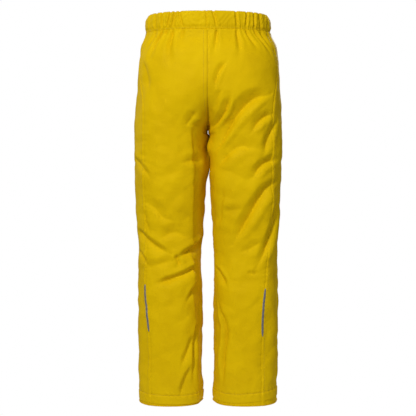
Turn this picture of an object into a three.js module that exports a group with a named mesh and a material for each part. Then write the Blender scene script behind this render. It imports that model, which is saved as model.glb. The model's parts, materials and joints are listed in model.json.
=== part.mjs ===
// Pull-on waterproof over-trousers, as the cloth pieces that they are sewn from.
// Millimetres, +Z up. The wearer faces -Y and the wearer's left is +X.
// The origin is the middle of the waist opening, level with the waistband's top edge.
//
// Every place on the cloth is given by two numbers: a turn round the garment and a drop below the
// waistband's top edge. On the left half, turn -1 is the centre front (the inseam, below the crotch),
// 0 is the outer side and +1 is the centre back (the inseam again, below the crotch).
import * as THREE from "three";
import { mergeVertices } from "three/addons/utils/BufferGeometryUtils.js";

// How far down each level lies.
const bandHeight = 38;
const crotchDrop = 240;
const hipDrop = 303;
const kneeDrop = 515;
const hemDrop = 820;

// Half of the width across both legs or the whole body.
const waistHalfWidth = 131;
const bandFlare = 3;
const hipHalfWidth = 151;
const kneeHalfWidth = 147.5;
const hemHalfWidth = 148;

// Half of the gap between the two legs.
const kneeHalfGap = 12.5;
const hemHalfGap = 11;

// How far the cloth stands in front of the middle and behind it.
const waistFrontDepth = 88;
const waistBackDepth = 88;
const bellyDepth = 95;
const seatDepth = 110;
const thighFrontDepth = 78;
const thighBackDepth = 82;
const kneeFrontDepth = 70;
const kneeBackDepth = 66;
const calfBackDepth = 70;
const hemFrontDepth = 64;
const hemBackDepth = 66;

// Cloth, tape and trim.
const cloth = 1.2;
const seamGap = 0.3;
const liningGap = 0.6;
const tapeWidth = 18;
const crotchTapeWidth = 16;
const tapeThickness = 0.4;
const outseamTurn = 0.26;
const elasticThickness = 1.5;
const elasticShortfall = 2.5;
const hemFacingHeight = 22;
const hemFacingThickness = 1.6;
const pipingTop = 574;
const pipingLength = 95;
const pipingWidth = 4.2;
const pipingThickness = 1.2;
const loopHalfSpan = 26;
const loopRise = 20;
const loopWidth = 8;
const loopThickness = 0.8;
const labelWidth = 26;
const labelHeight = 24;
const labelTuck = 3;
const labelThickness = 0.5;

// How far each joint bends the cloth towards the front and towards the back, in degrees, and the
// least half height of the strip of cloth that creases there.
const hipBend = { front: 90, back: 20 };
const kneeBend = { front: 0, back: 90 };
const spareBend = 2;
const creaseMargin = 3;

// How far the hip's axis stands in front of the middle, so that the hanging leg is balanced on it.
const hipAxisForward = 1.7;

// Fineness of the facets.
const frontColumns = 18;
const backColumns = 11;
const bandSegments = 56;
const legSegments = 40;

const { lerp, clamp, degToRad, smoothstep } = THREE.MathUtils;
const point = (x, y, z) => new THREE.Vector3(x, y, z);

// A smooth curve through [drop, value] points that never overshoots them.
function through(points) {
  const slopes = points.slice(1).map((p, i) => (p[1] - points[i][1]) / (p[0] - points[i][0]));
  const tangents = points.map((_, i) => {
    const before = slopes[Math.max(i - 1, 0)];
    const after = slopes[Math.min(i, slopes.length - 1)];
    return before * after <= 0 ? 0 : (2 * before * after) / (before + after);
  });
  return (drop) => {
    let i = 0;
    while (i < points.length - 2 && drop > points[i + 1][0]) i++;
    const span = points[i + 1][0] - points[i][0];
    const s = clamp((drop - points[i][0]) / span, 0, 1);
    const near = (1 + 2 * s) * (1 - s) ** 2 * points[i][1];
    const far = s * s * (3 - 2 * s) * points[i + 1][1];
    const bend = s * (1 - s) * ((1 - s) * tangents[i] - s * tangents[i + 1]) * span;
    return near + far + bend;
  };
}

// Levels that stand part of the way from one named level to the next.
const upper = (share) => lerp(bandHeight, crotchDrop, share);
const thigh = (share) => lerp(crotchDrop, kneeDrop, share);
const shin = (share) => lerp(kneeDrop, hemDrop, share);

const outerReach = through([
  [0, waistHalfWidth],
  [bandHeight, waistHalfWidth + bandFlare],
  [upper(0.16), lerp(waistHalfWidth, hipHalfWidth, 0.6)],
  [upper(0.42), lerp(waistHalfWidth, hipHalfWidth, 0.87)],
  [upper(0.75), hipHalfWidth],
  [crotchDrop, hipHalfWidth + 2.5],
  [thigh(0.4), hipHalfWidth + 1],
  [thigh(0.6), hipHalfWidth],
  [thigh(0.8), lerp(kneeHalfWidth, hipHalfWidth, 0.4)],
  [kneeDrop, kneeHalfWidth],
  [shin(0.15), kneeHalfWidth + 2],
  [shin(0.7), hemHalfWidth + 0.5],
  [hemDrop, hemHalfWidth],
]);

// Above the crotch the two leg loops run into each other, so their inner reach is negative there.
const innerReach = through([
  [bandHeight, -130],
  [upper(0.5), -70],
  [upper(0.75), -32],
  [upper(0.92), -11],
  [crotchDrop, 0],
  [thigh(0.13), kneeHalfGap * 0.1],
  [thigh(0.38), kneeHalfGap * 0.4],
  [thigh(0.58), kneeHalfGap * 0.75],
  [kneeDrop, kneeHalfGap],
  [shin(0.6), kneeHalfGap],
  [hemDrop, hemHalfGap],
]);

const frontDepth = through([
  [0, waistFrontDepth],
  [bandHeight, waistFrontDepth + bandFlare],
  [upper(0.35), bellyDepth],
  [crotchDrop, lerp(thighFrontDepth, bellyDepth, 0.3)],
  [thigh(0.3), thighFrontDepth],
  [kneeDrop, kneeFrontDepth],
  [hemDrop, hemFrontDepth],
]);

const backDepth = through([
  [0, waistBackDepth],
  [bandHeight, waistBackDepth + bandFlare],
  [upper(0.25), lerp(waistBackDepth, seatDepth, 0.65)],
  [upper(0.6), seatDepth],
  [crotchDrop, lerp(thighBackDepth, seatDepth, 0.25)],
  [thigh(0.3), thighBackDepth],
  [kneeDrop, kneeBackDepth],
  [shin(0.35), calfBackDepth],
  [hemDrop, hemBackDepth],
]);

// 0 where the cross-section is two leg loops and 1 where it is one body loop.
const bodyShare = (drop) => 1 - smoothstep(drop, upper(0.35), crotchDrop);

// The cloth's outer face on the left half.
function surface(turn, drop) {
  const onLeg = drop >= crotchDrop;
  const wrapped = turn > 1 ? turn - 2 : turn < -1 ? turn + 2 : turn;
  const t = onLeg ? wrapped : clamp(turn, -1, 1);
  const depth = t > 0 ? backDepth(drop) : frontDepth(drop);
  const centre = (outerReach(drop) + innerReach(drop)) / 2;
  const half = (outerReach(drop) - innerReach(drop)) / 2;
  const lastAngle = onLeg ? Math.PI : Math.acos(clamp(-centre / half, -1, 1));
  const leg = point(centre + half * Math.cos(t * lastAngle), depth * Math.sin(t * lastAngle), -drop);
  const bodyAngle = (t * Math.PI) / 2;
  const body = point(outerReach(drop) * Math.cos(bodyAngle), depth * Math.sin(bodyAngle), -drop);
  return leg.lerp(body, bodyShare(drop));
}

function outward(turn, drop) {
  const step = 0.004;
  const round = surface(turn + step, drop).sub(surface(turn - step, drop));
  const down = surface(turn, drop + 0.5).sub(surface(turn, drop - 0.5));
  return down.cross(round).normalize();
}

// A place in or behind the cloth, kept clear of the garment's middle plane.
function clothPoint(turn, drop, inset) {
  const p = surface(turn, drop).addScaledVector(outward(turn, drop), -inset);
  p.x = Math.max(p.x, seamGap * 0.6);
  return p;
}

// The width of cloth that one unit of turn covers.
function widthPerTurn(turn, drop) {
  const step = 0.01;
  return surface(turn + step, drop).distanceTo(surface(turn - step, drop)) / (2 * step);
}

// ---- closed solids from grids of points ----

function closedSolid(triangles) {
  const kept = triangles.filter(
    ([a, b, c]) => a.distanceTo(b) > 1e-3 && b.distanceTo(c) > 1e-3 && c.distanceTo(a) > 1e-3,
  );
  const volume = kept.reduce((sum, [a, b, c]) => sum + a.dot(b.clone().cross(c)), 0);
  const facing = volume < 0 ? kept.map(([a, b, c]) => [a, c, b]) : kept;
  const geometry = new THREE.BufferGeometry().setFromPoints(facing.flat());
  return mergeVertices(geometry, 1e-3);
}

const quad = (a, b, c, d) => [[a, b, c], [a, c, d]];

// A sheet with a thickness: at(row, column, face) gives its points, with face 0 outside and 1 inside.
function sheetSolid(rows, columns, at) {
  const faces = [0, 1].map((face) =>
    Array.from({ length: rows + 1 }, (_, i) =>
      Array.from({ length: columns + 1 }, (_, j) => at(i, j, face)),
    ),
  );
  const [out, back] = faces;
  const triangles = [];
  for (let i = 0; i < rows; i++)
    for (let j = 0; j < columns; j++) {
      triangles.push(...quad(out[i][j], out[i + 1][j], out[i + 1][j + 1], out[i][j + 1]));
      triangles.push(...quad(back[i][j], back[i][j + 1], back[i + 1][j + 1], back[i + 1][j]));
    }
  // Opposite rims split their quads alike, so that two sheets lie edge to edge with no facet crossing.
  for (let j = 0; j < columns; j++) {
    const [first, last] = [[0, j], [rows, j]].map(([i, l]) => [
      out[i][l], out[i][l + 1], back[i][l + 1], back[i][l],
    ]);
    triangles.push(...quad(...first));
    triangles.push(...quad(...last).map((t) => t.reverse()));
  }
  for (let i = 0; i < rows; i++) {
    const [first, last] = [0, columns].map((j) => [out[i][j], out[i + 1][j], back[i + 1][j], back[i][j]]);
    triangles.push(...quad(...first).map((t) => t.reverse()));
    triangles.push(...quad(...last));
  }
  return closedSolid(triangles);
}

// A closed outline of profile points swept once round: at(segment, profile point).
function ringSolid(segments, corners, at) {
  const grid = Array.from({ length: segments }, (_, i) =>
    Array.from({ length: corners }, (_, j) => at(i, j)),
  );
  const triangles = [];
  for (let i = 0; i < segments; i++)
    for (let j = 0; j < corners; j++) {
      const [next, turnOn] = [(i + 1) % segments, (j + 1) % corners];
      triangles.push(...quad(grid[i][j], grid[next][j], grid[next][turnOn], grid[i][turnOn]));
    }
  return closedSolid(triangles);
}

function mirrored(geometry) {
  const copy = geometry.clone().scale(-1, 1, 1);
  const index = copy.index.array;
  for (let i = 0; i < index.length; i += 3) [index[i + 1], index[i + 2]] = [index[i + 2], index[i + 1]];
  return copy;
}

// ---- where the joints crease the cloth ----

const hip = { drop: hipDrop, axisY: -hipAxisForward, bend: hipBend };
const knee = { drop: kneeDrop, axisY: 0, bend: kneeBend };

// Half the height of the creased strip, which grows with the distance before or behind the axis.
function creaseHalfHeight(joint, y) {
  const behind = y - joint.axisY;
  const bend = behind < 0 ? joint.bend.front : joint.bend.back;
  const halfAngle = bend ? (bend + spareBend) / 2 : 0;
  return creaseMargin + Math.abs(behind) * Math.tan(degToRad(halfAngle));
}

// The drop of the creased strip's edge at a turn, above (side -1) or below (side +1) the joint: the
// search comes from outside, so that all of the cloth that the bend would pinch is in the strip.
function creaseEdge(joint, turn, side) {
  const step = 0.25;
  let away = 140;
  while (away > creaseMargin) {
    const drop = joint.drop + side * away;
    if (away < creaseHalfHeight(joint, surface(turn, drop).y)) break;
    away -= step;
  }
  return joint.drop + side * away;
}

// The levels that the facets' rows lie on. They crowd together at the crotch, which is round.
const levels = [
  ...[1, 0.84, 0.69, 0.56, 0.44, 0.33, 0.24, 0.16, 0.08].map((s) => lerp(crotchDrop, bandHeight, s * s)),
  ...[0, 0.1, 0.25, 0.4, 0.55, 0.7, 0.85, 1].map(thigh),
  hipDrop,
  ...[0.1, 0.22, 0.4, 0.6, 0.8, 1].map(shin),
].sort((a, b) => a - b);

// The five stretches that each panel is divided into where it creases.
const half = seamGap / 2;
const stretches = {
  top: [() => bandHeight + seamGap, (turn) => creaseEdge(hip, turn, -1) - half],
  hip_crease: [(turn) => creaseEdge(hip, turn, -1) + half, (turn) => creaseEdge(hip, turn, 1) - half],
  thigh: [(turn) => creaseEdge(hip, turn, 1) + half, (turn) => creaseEdge(knee, turn, -1) - half],
  knee_crease: [(turn) => creaseEdge(knee, turn, -1) + half, (turn) => creaseEdge(knee, turn, 1) - half],
  shin: [(turn) => creaseEdge(knee, turn, 1) + half, () => hemDrop],
};

// The turns that each panel runs between, less the gap at its seams.
function panelTurn(panel, share, drop) {
  const seam = (turn, side) => turn + (side * half) / widthPerTurn(turn, drop);
  if (panel === "front") return lerp(-1, seam(outseamTurn, -1), share);
  return lerp(seam(outseamTurn, 1), 1, share);
}

function panelPiece(panel, stretch) {
  const columns = panel === "front" ? frontColumns : backColumns;
  const [topOf, footOf] = stretches[stretch];
  const ends = Array.from({ length: columns + 1 }, (_, j) => {
    const turn = panelTurn(panel, j / columns, hemDrop);
    return [topOf(turn), footOf(turn)];
  });
  const top = Math.min(...ends.map((e) => e[0]));
  const foot = Math.max(...ends.map((e) => e[1]));
  const rows = [top, ...levels.filter((drop) => drop > top + 1 && drop < foot - 1), foot];
  return sheetSolid(rows.length - 1, columns, (i, j, face) => {
    const drop = clamp(rows[i], ends[j][0], ends[j][1]);
    return clothPoint(panelTurn(panel, j / columns, drop), drop, face * cloth);
  });
}

// ---- strips that lie along a seam, inside or outside the cloth ----

// A place in or behind the panels' facets, which lie a little inside the round surface.
function facetPoint(turn, drop, inset) {
  const t = turn > 1 ? turn - 2 : turn;
  const onFront = t < outseamTurn;
  const [start, end] = onFront ? [-1, outseamTurn] : [outseamTurn, 1];
  const step = (end - start) / (onFront ? frontColumns : backColumns);
  const column = start + Math.floor((t - start) / step) * step;
  const share = (t - column) / step;
  return clothPoint(column, drop, inset).lerp(clothPoint(column + step, drop, inset), share);
}

function seamStrip(turn, top, foot, width, nearInset, farInset) {
  const rows = [top, ...levels.filter((drop) => drop > top + 2 && drop < foot - 2), foot];
  return sheetSolid(rows.length - 1, 2, (i, j, face) => {
    const across = ((j - 1) * width) / 2 / widthPerTurn(turn, rows[i]);
    return facetPoint(turn + across, rows[i], face ? farInset : nearInset);
  });
}

const tapeFace = cloth + liningGap;
const seamTape = (turn, top, foot) =>
  seamStrip(turn, top, foot, tapeWidth, tapeFace, tapeFace + tapeThickness);

// The tape ends short of the creased strips by the widest slope that its width crosses.
const tapeEnd = (joint, turn, side) => {
  const across = tapeWidth / 2 / widthPerTurn(turn, joint.drop);
  const ends = [-across, 0, across].map((a) => {
    const t = turn + a > 1 ? turn + a - 2 : turn + a;
    return side * creaseEdge(joint, t, side);
  });
  return side * (Math.max(...ends) + 1);
};

// The centre seam's tape, from the waistband down the back, under the crotch and up the front.
function crotchTape() {
  const above = levels.filter((drop) => drop > bandHeight + 1 && drop < crotchDrop);
  const seamAt = (turn, drop) => surface(turn, drop).setX(0);
  const line = [
    seamAt(1, bandHeight + 1),
    ...above.map((drop) => seamAt(1, drop)),
    seamAt(1, crotchDrop),
    ...above.reverse().map((drop) => seamAt(-1, drop)),
    seamAt(-1, bandHeight + 1),
  ];
  const inward = line.map((_, i) => {
    const along = line[Math.min(i + 1, line.length - 1)].clone().sub(line[Math.max(i - 1, 0)]);
    return point(0, along.z, -along.y).normalize();
  });
  return sheetSolid(line.length - 1, 1, (i, j, face) => {
    const depth = tapeFace + face * tapeThickness;
    const p = line[i].clone().addScaledVector(inward[i], depth);
    return p.setX((j - 0.5) * crotchTapeWidth);
  });
}

// ---- the waistband ----

const casingWall = cloth;
const elasticInset = casingWall + seamGap;
const facingInset = elasticInset + elasticThickness + seamGap;
const casingDepth = facingInset + casingWall;

// A place on the waistband, by its angle round the body from the left side towards the back.
function waistPoint(angle, drop, inset) {
  const reach = outerReach(drop);
  const depth = Math.sin(angle) > 0 ? backDepth(drop) : frontDepth(drop);
  const normal = point(Math.cos(angle) / reach, Math.sin(angle) / depth, 0).normalize();
  const face = point(reach * Math.cos(angle), depth * Math.sin(angle), -drop);
  return face.addScaledVector(normal, -inset);
}

const waistRing = (profile) =>
  ringSolid(bandSegments, profile.length, (i, j) =>
    waistPoint((i / bandSegments) * 2 * Math.PI, profile[j][1], profile[j][0]),
  );

// One strip folded over at the top edge, so its section is an upside-down U.
const waistbandCasing = () =>
  waistRing([
    [0, bandHeight],
    [0, 0],
    [casingDepth, 0],
    [casingDepth, bandHeight],
    [facingInset, bandHeight],
    [facingInset, casingWall],
    [casingWall, casingWall],
    [casingWall, bandHeight],
  ]);

const waistElastic = () => {
  const [top, foot] = [casingWall + seamGap, bandHeight - elasticShortfall];
  const inner = elasticInset + elasticThickness;
  return waistRing([[elasticInset, foot], [elasticInset, top], [inner, top], [inner, foot]]);
};

// A place on the waistband's inner face, by its distance across from the centre back.
function behindBand(across, drop, inset) {
  const reach = outerReach(drop) - casingDepth;
  return waistPoint(Math.PI / 2 - across / reach, drop, casingDepth + inset);
}

// A half hoop of webbing with both ends sewn in at the foot of the waistband.
function hangerLoop() {
  const steps = 14;
  const footDrop = bandHeight - loopWidth / 2;
  return sheetSolid(steps, 1, (i, j, face) => {
    const angle = (i / steps) * Math.PI;
    const grow = (j - 0.5) * loopWidth;
    const across = (loopHalfSpan + grow) * Math.cos(angle);
    const drop = footDrop - (loopRise + grow) * Math.sin(angle);
    return behindBand(across, drop, liningGap + face * loopThickness);
  });
}

// A blank label that hangs from the foot of the waistband, between the loop's ends.
function sizeLabel() {
  const top = bandHeight - labelTuck;
  const [rows, columns] = [3, 4];
  return sheetSolid(rows, columns, (i, j, face) => {
    const across = (j / columns - 0.5) * labelWidth;
    const drop = top + (i / rows) * labelHeight;
    return behindBand(across, drop, liningGap + face * labelThickness);
  });
}

// ---- the ends of the legs ----

// The panels' turned-up edge, as a ring inside the leg's end.
function hemFacing() {
  const near = cloth + liningGap;
  const profile = [
    [near, hemDrop],
    [near, hemDrop - hemFacingHeight],
    [near + hemFacingThickness, hemDrop - hemFacingHeight],
    [near + hemFacingThickness, hemDrop],
  ];
  return ringSolid(legSegments, profile.length, (i, j) => {
    const turn = (i / legSegments) * 2 - 1;
    const [inset, drop] = profile[j];
    const level = outward(turn, hemDrop - 1).setZ(0).normalize();
    return surface(turn, drop).addScaledVector(level, -inset);
  });
}

const reflectivePiping = () =>
  seamStrip(
    outseamTurn,
    pipingTop,
    pipingTop + pipingLength,
    pipingWidth,
    -seamGap - pipingThickness,
    -seamGap,
  );

// ---- the garment ----

const fabric = (color, roughness) => new THREE.MeshStandardMaterial({ color, roughness, metalness: 0 });
const shellCloth = fabric(0xd2aa06, 0.62);
const elasticWeb = fabric(0xd9d6cc, 0.9);
const tapeFilm = fabric(0xbfc0b4, 0.45);
const reflective = fabric(0x76777c, 0.4);
const webbing = fabric(0x9c7f0c, 0.8);
const labelWeave = fabric(0xe8e6de, 0.85);

const garment = new THREE.Group();

function add(name, geometry, material) {
  const mesh = new THREE.Mesh(geometry, material);
  mesh.name = name;
  garment.add(mesh);
}

// A piece of the left half and its mirror image.
function addPair(name, geometry, material) {
  add("left_" + name, geometry, material);
  add("right_" + name, mirrored(geometry), material);
}

add("waistband_casing", waistbandCasing(), shellCloth);
add("waist_elastic", waistElastic(), elasticWeb);
add("hanger_loop", hangerLoop(), webbing);
add("size_label", sizeLabel(), labelWeave);
add("crotch_seam_tape", crotchTape(), tapeFilm);

for (const [panel, top] of [["front", "rise"], ["back", "seat"]])
  for (const stretch of Object.keys(stretches)) {
    const name = panel + "_panel_" + (stretch === "top" ? top : stretch);
    addPair(name, panelPiece(panel, stretch), shellCloth);
  }

const overHem = hemDrop - hemFacingHeight - 1;
addPair("outseam_tape_seat", seamTape(outseamTurn, bandHeight + 1, tapeEnd(hip, outseamTurn, -1)), tapeFilm);
for (const [seam, turn] of [["outseam", outseamTurn], ["inseam", 1]]) {
  const thighTape = seamTape(turn, tapeEnd(hip, turn, 1), tapeEnd(knee, turn, -1));
  addPair(seam + "_tape_thigh", thighTape, tapeFilm);
  addPair(seam + "_tape_shin", seamTape(turn, tapeEnd(knee, turn, 1), overHem), tapeFilm);
}
addPair("hem_facing", hemFacing(), shellCloth);
addPair("reflective_piping", reflectivePiping(), reflective);

export default garment;
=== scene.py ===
import json
import math

import bpy
import numpy as np
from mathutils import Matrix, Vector


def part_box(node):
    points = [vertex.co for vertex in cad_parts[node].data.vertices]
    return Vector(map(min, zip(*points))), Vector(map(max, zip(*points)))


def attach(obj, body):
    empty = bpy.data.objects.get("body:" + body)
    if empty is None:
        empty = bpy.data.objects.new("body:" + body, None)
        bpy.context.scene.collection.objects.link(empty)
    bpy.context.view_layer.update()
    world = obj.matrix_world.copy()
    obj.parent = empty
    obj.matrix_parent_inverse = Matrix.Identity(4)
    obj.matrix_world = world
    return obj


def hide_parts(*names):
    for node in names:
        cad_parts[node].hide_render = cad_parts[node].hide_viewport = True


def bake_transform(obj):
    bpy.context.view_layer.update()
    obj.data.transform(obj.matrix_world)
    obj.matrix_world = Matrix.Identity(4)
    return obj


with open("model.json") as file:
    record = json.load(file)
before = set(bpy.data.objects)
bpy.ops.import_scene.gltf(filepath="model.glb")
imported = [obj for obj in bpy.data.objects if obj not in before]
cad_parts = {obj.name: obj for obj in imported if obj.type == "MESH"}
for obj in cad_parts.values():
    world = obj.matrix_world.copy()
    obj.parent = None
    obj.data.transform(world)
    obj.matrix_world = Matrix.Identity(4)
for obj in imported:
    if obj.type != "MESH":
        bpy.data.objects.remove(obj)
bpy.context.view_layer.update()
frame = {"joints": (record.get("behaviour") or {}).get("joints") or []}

# Rain over-trousers, seen from behind. Metres, +Z up, the wearer faces -Y and their left is +X.
# A place on the cloth is a turn round one half (-1 centre front or inseam, 0 outer side, 1 centre
# back or inseam) and a drop below the waistband's top edge.

jointAt = {j["name"]: Vector(j["pos_m"]) for j in frame["joints"]}
casingLow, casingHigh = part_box("waistband_casing")
hemLow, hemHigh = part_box("left_hem_facing")
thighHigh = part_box("left_front_panel_thigh")[1]
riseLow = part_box("left_front_panel_rise")[0]
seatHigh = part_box("left_back_panel_seat")[1]
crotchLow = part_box("crotch_seam_tape")[0]

cut = {
    "cloth": 0.0012,                  # thickness of the shell with its lining
    "tapeDepth": 0.0022,              # how deep the crotch tape lies in the cloth
    "waistHalf": casingHigh.x - 0.003,

    "band": -casingLow.z,
    "hipHalf": thighHigh.x - 0.0025,
    "kneeHalf": 0.1475,
    "hemHalf": hemHigh.x + 0.0018,
    "kneeGap": 0.0125,                # half of the gap between the knees
    "hemGap": hemLow.x - 0.0018,
    "waistDepth": casingHigh.y - 0.003,
    "belly": -riseLow.y,
    "seat": seatHigh.y,
    "thighFront": 0.078,
    "thighBack": 0.082,
    "kneeFront": 0.070,
    "kneeBack": 0.066,
    "calfBack": 0.070,
    "hemFront": 0.064,
    "hemBack": 0.066,
    "outseam": 0.26,                  # the turn where front and back panels are sewn together
    "square": 0.062,                  # how far a section's corners stand outside an ellipse
    "seatSquare": 0.03,               # and how much further they do at the seat
    "seatEnd": (0.17, 0.27),          # the drops over which that goes
}
cut["crotch"] = -crotchLow.z - cut["tapeDepth"]
cut["knee"] = -jointAt["left_knee"].z
cut["hem"] = -hemLow.z

grid = {
    "rowStep": 0.0025,                # spacing of the cloth's rows and columns
    "columnStep": 0.0021,
    "fineStep": 0.0013,               # spacing of the rows beside the waistband and in the hem
    "seamSteps": (0.0, 0.0010, 0.0021, 0.0034, 0.0050, 0.0070),   # finer beside a seam
    "crotchRows": 28,
    "crowded": 0.062,                 # the height above the crotch that those rows share
    "split": 0.402,                   # where a leg's upper and lower pieces meet, out of both bends
}
sides = {"left": 1, "right": -1}


def through(points):
    # a smooth curve through (drop, value) points that never overshoots them
    at = np.array([p[0] for p in points])
    value = np.array([p[1] for p in points])
    slope = np.diff(value) / np.diff(at)
    before = np.concatenate([slope[:1], slope])
    after = np.concatenate([slope, slope[-1:]])
    total = np.where(before + after == 0, 1, before + after)
    tangent = np.where(before * after <= 0, 0, 2 * before * after / total)

    def curve(drop):
        i = np.clip(np.searchsorted(at, drop, side="left") - 1, 0, len(at) - 2)
        span = at[i + 1] - at[i]
        s = np.clip((drop - at[i]) / span, 0, 1)
        near = (1 + 2 * s) * (1 - s) ** 2 * value[i]
        far = s * s * (3 - 2 * s) * value[i + 1]
        return near + far + s * (1 - s) * ((1 - s) * tangent[i] - s * tangent[i + 1]) * span

    return curve


def smoothstep(x, low, high):
    s = np.clip((x - low) / (high - low), 0, 1)
    return s * s * (3 - 2 * s)


def mix(a, b, share):
    return a + (b - a) * share


def bump(distance, width):
    # a soft rise of height 1 about a line
    return np.exp(-(distance / width) ** 2)


def upper(share):
    return mix(cut["band"], cut["crotch"], share)


def thigh(share):
    return mix(cut["crotch"], cut["knee"], share)


def shin(share):
    return mix(cut["knee"], cut["hem"], share)


outerReach = through([
    (0, cut["waistHalf"]),
    (cut["band"], cut["waistHalf"]),
    (upper(0.16), mix(cut["waistHalf"], cut["hipHalf"], 0.6)),
    (upper(0.42), mix(cut["waistHalf"], cut["hipHalf"], 0.87)),
    (upper(0.75), cut["hipHalf"]),
    (cut["crotch"], cut["hipHalf"] + 0.0025),
    (thigh(0.4), cut["hipHalf"] + 0.001),
    (thigh(0.6), cut["hipHalf"]),
    (thigh(0.8), mix(cut["kneeHalf"], cut["hipHalf"], 0.4)),
    (cut["knee"], cut["kneeHalf"]),
    (shin(0.15), cut["kneeHalf"] + 0.002),
    (shin(0.7), cut["hemHalf"] + 0.0005),
    (cut["hem"], cut["hemHalf"]),
])
innerReach = through([
    (cut["band"], -0.130),
    (upper(0.5), -0.070),
    (upper(0.75), -0.032),
    (upper(0.92), -0.011),
    (cut["crotch"], 0),
    (thigh(0.26), cut["kneeGap"] * 0.02),
    (thigh(0.42), cut["kneeGap"] * 0.24),
    (thigh(0.62), cut["kneeGap"] * 0.58),
    (cut["knee"], cut["kneeGap"]),
    (shin(0.6), cut["kneeGap"]),
    (cut["hem"], cut["hemGap"]),
])
frontDepth = through([
    (0, cut["waistDepth"]),
    (cut["band"], cut["waistDepth"]),
    (upper(0.35), cut["belly"]),
    (cut["crotch"], mix(cut["thighFront"], cut["belly"], 0.3)),
    (thigh(0.3), cut["thighFront"]),
    (cut["knee"], cut["kneeFront"]),
    (cut["hem"], cut["hemFront"]),
])
backDepth = through([
    (0, cut["waistDepth"]),
    (cut["band"], cut["waistDepth"]),
    (upper(0.25), mix(cut["waistDepth"], cut["seat"], 0.65)),
    (upper(0.6), cut["seat"]),
    (cut["crotch"], mix(cut["thighBack"], cut["seat"], 0.25)),
    (thigh(0.3), cut["thighBack"]),
    (cut["knee"], cut["kneeBack"]),
    (shin(0.35), cut["calfBack"]),
    (cut["hem"], cut["hemBack"]),
])


def clothFace(turn, drop, twist=0.0):
    # the smooth outer face of the left half, before any fold
    turn, drop = np.broadcast_arrays(np.asarray(turn, float), np.asarray(drop, float))
    turn = turn + twist * (1 - turn * turn)
    onLeg = drop >= cut["crotch"]
    wrapped = np.where(turn > 1, turn - 2, np.where(turn < -1, turn + 2, turn))
    t = np.where(onLeg, wrapped, np.clip(turn, -1, 1))
    depth = np.where(t > 0, backDepth(drop), frontDepth(drop))
    outer, inner = outerReach(drop), innerReach(drop)
    centre, half = (outer + inner) / 2, (outer - inner) / 2
    last = np.where(onLeg, np.pi, np.arccos(np.clip(-centre / half, -1, 1)))
    share = 1 - smoothstep(drop, upper(0.35), cut["crotch"])
    square = cut["square"] + cut["seatSquare"] * (1 - smoothstep(drop, *cut["seatEnd"]))
    square = square * smoothstep(drop, cut["band"], cut["band"] + 0.06)
    square = square * (1 - smoothstep(np.abs(t), 0.78, 1.0))
    leg, body = t * (np.pi - (np.pi - last) * t * t), t * np.pi / 2
    legSize, bodySize = 1 + square * np.sin(2 * leg) ** 2, 1 + square * np.sin(2 * body) ** 2
    x = mix(centre + half * np.cos(leg) * legSize, outer * np.cos(body) * bodySize, share)
    y = mix(depth * np.sin(leg) * legSize, depth * np.sin(body) * bodySize, share)
    return np.stack([x, y, -drop], -1)


def unit(vectors):
    return vectors / np.linalg.norm(vectors, axis=-1, keepdims=True)


def normalsOf(points, closedFrom):
    # normals of a [row, column] grid; from row closedFrom on, its first and last columns meet
    around = np.zeros_like(points)
    around[:, 1:-1] = points[:, 2:] - points[:, :-2]
    around[:, 0] = points[:, 1] - points[:, 0]
    around[:, -1] = points[:, -1] - points[:, -2]
    seam = points[closedFrom:, 1] - points[closedFrom:, -2]
    around[closedFrom:, 0] = seam
    around[closedFrom:, -1] = seam
    down = np.zeros_like(points)
    down[1:-1] = points[2:] - points[:-2]
    down[0] = points[1] - points[0]
    down[-1] = points[-1] - points[-2]
    n = np.cross(down, around)
    return n / np.maximum(np.linalg.norm(n, axis=-1, keepdims=True), 1e-12)


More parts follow.
